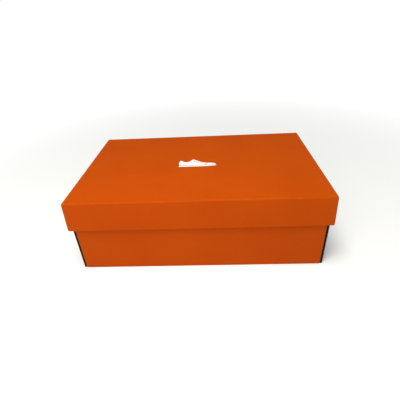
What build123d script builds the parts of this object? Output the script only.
"""Shoe box with an attached lid, folded from one die-cut sheet of E-flute corrugated board.

The box stands on its bottom panel and opens at the front. +X runs along the long side, +Y points from the
front to the back, and +Z points up. The origin is the middle of the outline at floor level.

Every panel between two creases is its own solid. A fold is the rounded outer edge of the panel that was
turned up or down, so neighbouring panels meet face to face along the crease.
"""

from build123d import *
from math import cos, radians, tan
import os

# Driving dimensions, in millimetres and degrees
board = 1.5  # thickness of the corrugated board
fold_radius = 1.3  # outer radius of a right-angle fold
lid_length = 343.0  # lid's top panel, end to end
lid_depth = 219.2  # front of the lid to the back wall
height = 111.6  # top of the closed lid above the floor
skirt_height = 42.5  # lid's turned-down rim, measured from the top of the lid
skirt_flare = 2.7  # outward lean of the lid's end skirts
side_gap = 0.4  # air between a base end wall and the lid's end skirt, at the fold
front_gap = 0.4  # air between the base's front wall and the lid's glued corner flaps
lid_drop = 0.3  # air between the wall tops and the underside of the lid
corner_setback = 4.3  # how far the front and back walls stop short of the folded corners

# The base, worked out from the lid that has to drop over it
lid_front = -lid_depth / 2
back = lid_depth / 2
base_front = lid_front + 2 * board + front_gap
base_side = lid_length / 2 - board - side_gap
base_inside = base_side - board
wall_side = base_side - corner_setback
wall_top = height - board - lid_drop

# The rolled front wall: an outer panel, a captured corner flap and an inner panel
front_flap_face = base_front + board
front_inner_face = base_front + 2 * board
front_roll = 3 * board
inner_panel_gap = 0.4

# Corner flaps
flap_length = 60.0
flap_chamfer = 8.0
flap_play = 0.5
lid_flap_length = 45.0
lid_flap_chamfer = 5.0

# Lock tabs under the rolled front wall, and their slots in the bottom panel
tab_width = 45.0
tab_spacing = 170.0
tab_recess = 0.2
slot_play = 0.15

# The front flaps' feet, which fill the bottom panel's notched front corners
foot_recess = 0.2

# The paper hinge: its axis runs through the middle of the board at the back top corner
hinge_y = back - board / 2
hinge_z = height - board / 2
crease_height = 2.0
hinge_relief = 1.4  # how far the lid's board stays from the axis, so that it can fold right back
ear_gap = 0.3

# Lid fold line, where the end skirts turn down
lid_fold_x = lid_length / 2 - board
lid_fold_z = height - board
lid_flap_face = lid_front + board
skirt_bottom = height - skirt_height
skirt_back_gap = 0.5
skirt_edge_inset = 0.3
skirt_corner_radius = 2.0


def block(x, y, z):
    """Cuboid between two limits on each axis."""
    size = [high - low for low, high in (x, y, z)]
    middle = [(high + low) / 2 for low, high in (x, y, z)]
    return Pos(*middle) * Box(*size)


def edges_at(shape, **limits):
    """Straight edges whose middle lies at the stated coordinates."""
    close = 1e-3
    found = []
    for edge in shape.edges():
        middle = edge.center(CenterOf.BOUNDING_BOX)
        if all(abs(getattr(middle, axis) - value) < close for axis, value in limits.items()):
            found.append(edge)
    return found


def upright_plate(outline, y):
    """Plate cut to an XZ outline, between two limits along Y."""
    face = Plane.XZ * make_face(Polyline(*outline, close=True))
    return Pos(0, y[1], 0) * extrude(face, y[1] - y[0])


def mirrored(shape):
    """The same piece at the other end of the box."""
    return mirror(shape, about=Plane.YZ)


def bottom_panel():
    """Floor of the box, with two slots for the lock tabs and a small notch at both front corners."""
    floor = block((-base_inside, base_inside), (front_flap_face, back - board), (0, board))
    half_slot = tab_width / 2 + slot_play
    slot_y = (front_inner_face - slot_play, front_inner_face + board + slot_play)
    for centre in (-tab_spacing / 2, tab_spacing / 2):
        floor -= block((centre - half_slot, centre + half_slot), slot_y, (-1, board + 1))
    notch = block((wall_side, base_side), (base_front, front_inner_face), (-1, board + 1))
    return floor - notch - mirrored(notch)


def front_wall_outer():
    """Printed face of the rolled front wall."""
    rim_low = wall_top - board
    wall = block((-wall_side, wall_side), (base_front, front_flap_face), (0, rim_low))
    return fillet(edges_at(wall, Y=base_front, Z=0), fold_radius)


def front_wall_rim():
    """Flat top strip between the two creases of the rolled front wall."""
    inside = base_front + front_roll
    rim = block((-wall_side, wall_side), (base_front, inside), (wall_top - board, wall_top))
    folds = edges_at(rim, Y=base_front, Z=wall_top) + edges_at(rim, Y=inside, Z=wall_top)
    return fillet(folds, fold_radius)


def front_wall_inner():
    """Inner layer of the rolled front wall, held down by two lock tabs."""
    reach = base_inside - inner_panel_gap
    y = (front_inner_face, front_inner_face + board)
    wall = block((-reach, reach), y, (board, wall_top - board))
    for centre in (-tab_spacing / 2, tab_spacing / 2):
        wall += block((centre - tab_width / 2, centre + tab_width / 2), y, (tab_recess, board))
    return wall


def back_wall():
    """Back panel, up to the hinge crease."""
    top = hinge_z - crease_height
    wall = block((-wall_side, wall_side), (back - board, back), (0, top))
    return fillet(edges_at(wall, Y=back, Z=0), fold_radius)


def hinge_crease():
    """Scored strip that the lid turns about, with its round nose on the hinge axis."""
    strip = block((-wall_side, wall_side), (back - board, back), (hinge_z - crease_height, hinge_z))
    nose = Pos(0, hinge_y, hinge_z) * Rot(0, 90, 0) * Cylinder(board / 2, 2 * wall_side)
    return strip + nose


def right_end_wall():
    """End panel of the base, with its rounded folds to the floor and to both corner flaps."""
    low_y = front_flap_face
    high_y = back - board
    wall = block((base_inside, base_side), (low_y, high_y), (0, wall_top))
    folds = edges_at(wall, X=base_side, Z=0)
    folds += edges_at(wall, X=base_side, Y=low_y)
    folds += edges_at(wall, X=base_side, Y=high_y)
    return fillet(folds, fold_radius)


def corner_flap(y, top):
    """Flap turned in from the right end wall, with its free corners cut off at an angle."""
    fold = base_inside
    free = fold - flap_length
    low = board + flap_play
    outline = [
        (fold, low),
        (free + flap_chamfer, low),
        (free, low + flap_chamfer),
        (free, top - flap_chamfer),
        (free + flap_chamfer, top),
        (fold, top),
    ]
    return upright_plate(outline, y)


def right_front_flap():
    """Flap that the rolled front wall captures, with a narrow foot beside its fold that reaches the ground."""
    y = (front_flap_face, front_inner_face)
    foot = block((wall_side, base_inside), y, (foot_recess, board + flap_play))
    return corner_flap(y, wall_top - board - flap_play) + foot


def right_back_flap():
    """Flap that is glued inside the back wall."""
    return corner_flap((back - 2 * board, back - board), wall_top - flap_play)


def lid_top():
    """Top panel. Past the ends of the hinge it reaches back to the back wall's face as two ears."""
    crease_line = hinge_y - hinge_relief
    ear_inside = wall_side + ear_gap
    outline = [
        (-lid_fold_x, lid_flap_face),
        (lid_fold_x, lid_flap_face),
        (lid_fold_x, back),
        (ear_inside, back),
        (ear_inside, crease_line),
        (-ear_inside, crease_line),
        (-ear_inside, back),
        (-lid_fold_x, back),
    ]
    face = make_face(Polyline(*outline, close=True))
    return Pos(0, 0, lid_fold_z) * extrude(face, board)


def lean(shape):
    """Moves a piece from the end skirt's own frame to the lid's right fold line."""
    return Pos(lid_fold_x, 0, lid_fold_z) * Rot(0, -skirt_flare, 0) * shape


def skirt_drop():
    """Length of an end skirt down its own slope."""
    return (lid_fold_z - skirt_bottom) / cos(radians(skirt_flare))


def right_lid_skirt():
    """End skirt: a leaning plate, and the round fold that joins it to the lid's top panel."""
    low_y = lid_flap_face
    high_y = back - skirt_back_gap
    plate = block((0, board), (low_y, high_y), (-skirt_drop(), 0))
    plate = fillet(edges_at(plate, X=board, Y=low_y), fold_radius)
    corner = (board * cos(radians(90 - skirt_flare)), board * cos(radians(skirt_flare)))
    sector = make_face([
        Line((0, 0), (board, 0)),
        CenterArc((0, 0), board, 0, 90 - skirt_flare),
        Line(corner, (0, 0)),
    ])
    fold = Pos(0, high_y, 0) * extrude(Plane.XZ * sector, high_y - low_y - fold_radius)
    return lean(plate + fold)


def skirt_inside(z):
    """How far out the inner face of a leaning end skirt is, at a given height."""
    return lid_fold_x + (lid_fold_z - z) * tan(radians(skirt_flare))


def right_lid_flap():
    """Flap turned in from the end skirt and glued behind the lid's front skirt."""
    low = skirt_bottom + flap_play
    top = lid_fold_z - flap_play
    free = lid_fold_x - lid_flap_length
    outline = [
        (skirt_inside(low), low),
        (free + lid_flap_chamfer, low),
        (free, low + lid_flap_chamfer),
        (free, top - lid_flap_chamfer),
        (free + lid_flap_chamfer, top),
        (skirt_inside(top), top),
    ]
    return upright_plate(outline, (lid_flap_face, lid_flap_face + board))


def lid_front_skirt():
    """Front skirt, a little wider at its free edge because the end skirts lean outward."""
    overlap = board - skirt_edge_inset
    top_side = skirt_inside(height) + overlap
    low_side = skirt_inside(skirt_bottom) + overlap
    outline = [(-low_side, skirt_bottom), (low_side, skirt_bottom), (top_side, height), (-top_side, height)]
    skirt = upright_plate(outline, (lid_front, lid_flap_face))
    middle_y = (lid_front + lid_flap_face) / 2
    skirt = fillet(edges_at(skirt, Y=middle_y, Z=skirt_bottom), skirt_corner_radius)
    skirt = fillet(edges_at(skirt, Y=middle_y, Z=height), fold_radius)
    return fillet(edges_at(skirt, Y=lid_front, Z=height), fold_radius)


def all_pieces():
    """Every node of the box by name."""
    pieces = {
        "bottom_panel": bottom_panel(),
        "front_wall_outer": front_wall_outer(),
        "front_wall_rim": front_wall_rim(),
        "front_wall_inner": front_wall_inner(),
        "back_wall": back_wall(),
        "hinge_crease": hinge_crease(),
        "lid_top": lid_top(),
        "lid_front_skirt": lid_front_skirt(),
    }
    handed = {
        "end_wall": right_end_wall(),
        "front_flap": right_front_flap(),
        "back_flap": right_back_flap(),
        "lid_skirt": right_lid_skirt(),
        "lid_flap": right_lid_flap(),
    }
    for name, piece in handed.items():
        pieces["right_" + name] = piece
        pieces["left_" + name] = mirrored(piece)
    return pieces


os.makedirs("parts", exist_ok=True)
for name, piece in all_pieces().items():
    export_step(piece, f"parts/{name}.step")
    print(name, round(piece.volume, 1))
